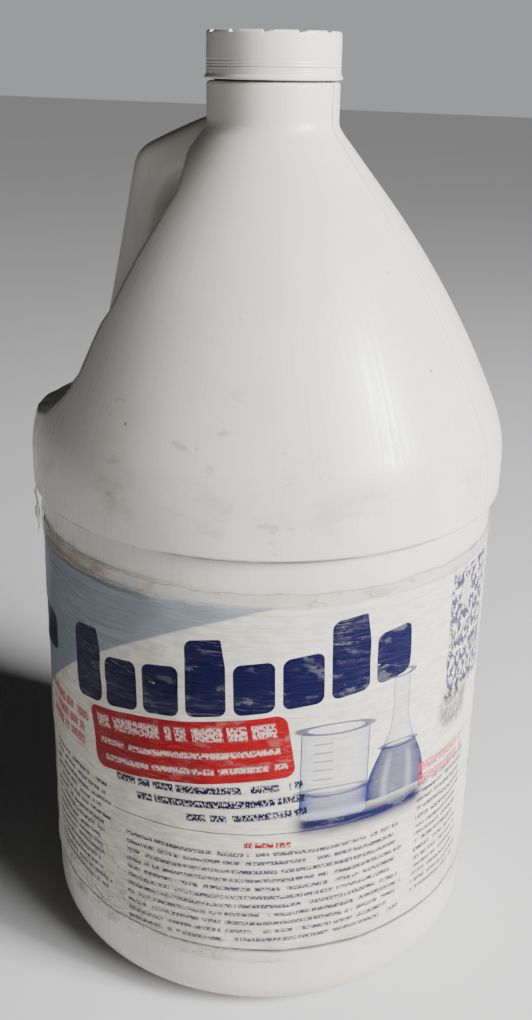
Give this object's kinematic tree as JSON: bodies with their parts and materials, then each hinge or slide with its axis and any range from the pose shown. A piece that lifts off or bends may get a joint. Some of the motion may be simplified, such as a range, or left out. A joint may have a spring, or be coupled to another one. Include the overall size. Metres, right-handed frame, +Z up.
{
  "type": "handled jug",
  "caption": "Round one-gallon handled jug with a lobed screw cap, a loose tamper band and a wrap label held down by clear tape.",
  "frame": {"origin": "centre of the base, on the surface the jug stands on", "axes": "+Z up along the neck's axis; the handle is on the -X side"},
  "size_m": [0.1524, 0.1524, 0.298],
  "materials": {
    "bottle_plastic": "satin white polyethylene, scuffed",
    "cap_plastic": "satin white",
    "liner_foam": "matte foam",
    "label_paper": "printed, worn",
    "clear_tape": "glossy, wrinkled"
  },
  "bodies": {
    "jug": {"bottle": "bottle_plastic", "label": "label_paper", "tape_lower": "clear_tape", "tape_middle": "clear_tape", "tape_upper": "clear_tape"},
    "band": {"tamper_band": "cap_plastic"},
    "liner": {"cap_liner": "liner_foam"},
    "cap": {"cap": "cap_plastic"}
  },
  "joints": [
    {"name": "cap_rise", "type": "slide", "parent": "jug", "child": "liner", "axis": [0, 0, 1], "range_m": [0, 0.0212]},
    {"name": "cap_turn", "type": "hinge", "parent": "liner", "child": "cap", "pos_m": [0, 0, 0.29], "axis": [0, 0, 1], "range_deg": [0, 1800]},
    {"name": "band_spin", "type": "hinge", "parent": "jug", "child": "band", "pos_m": [0, 0, 0.286], "axis": [0, 0, 1], "continuous": true}
  ],
  "couplings": [
    {"joint": "cap_rise", "follows": "cap_turn", "m_per_rad": 0.0006737}
  ]
}
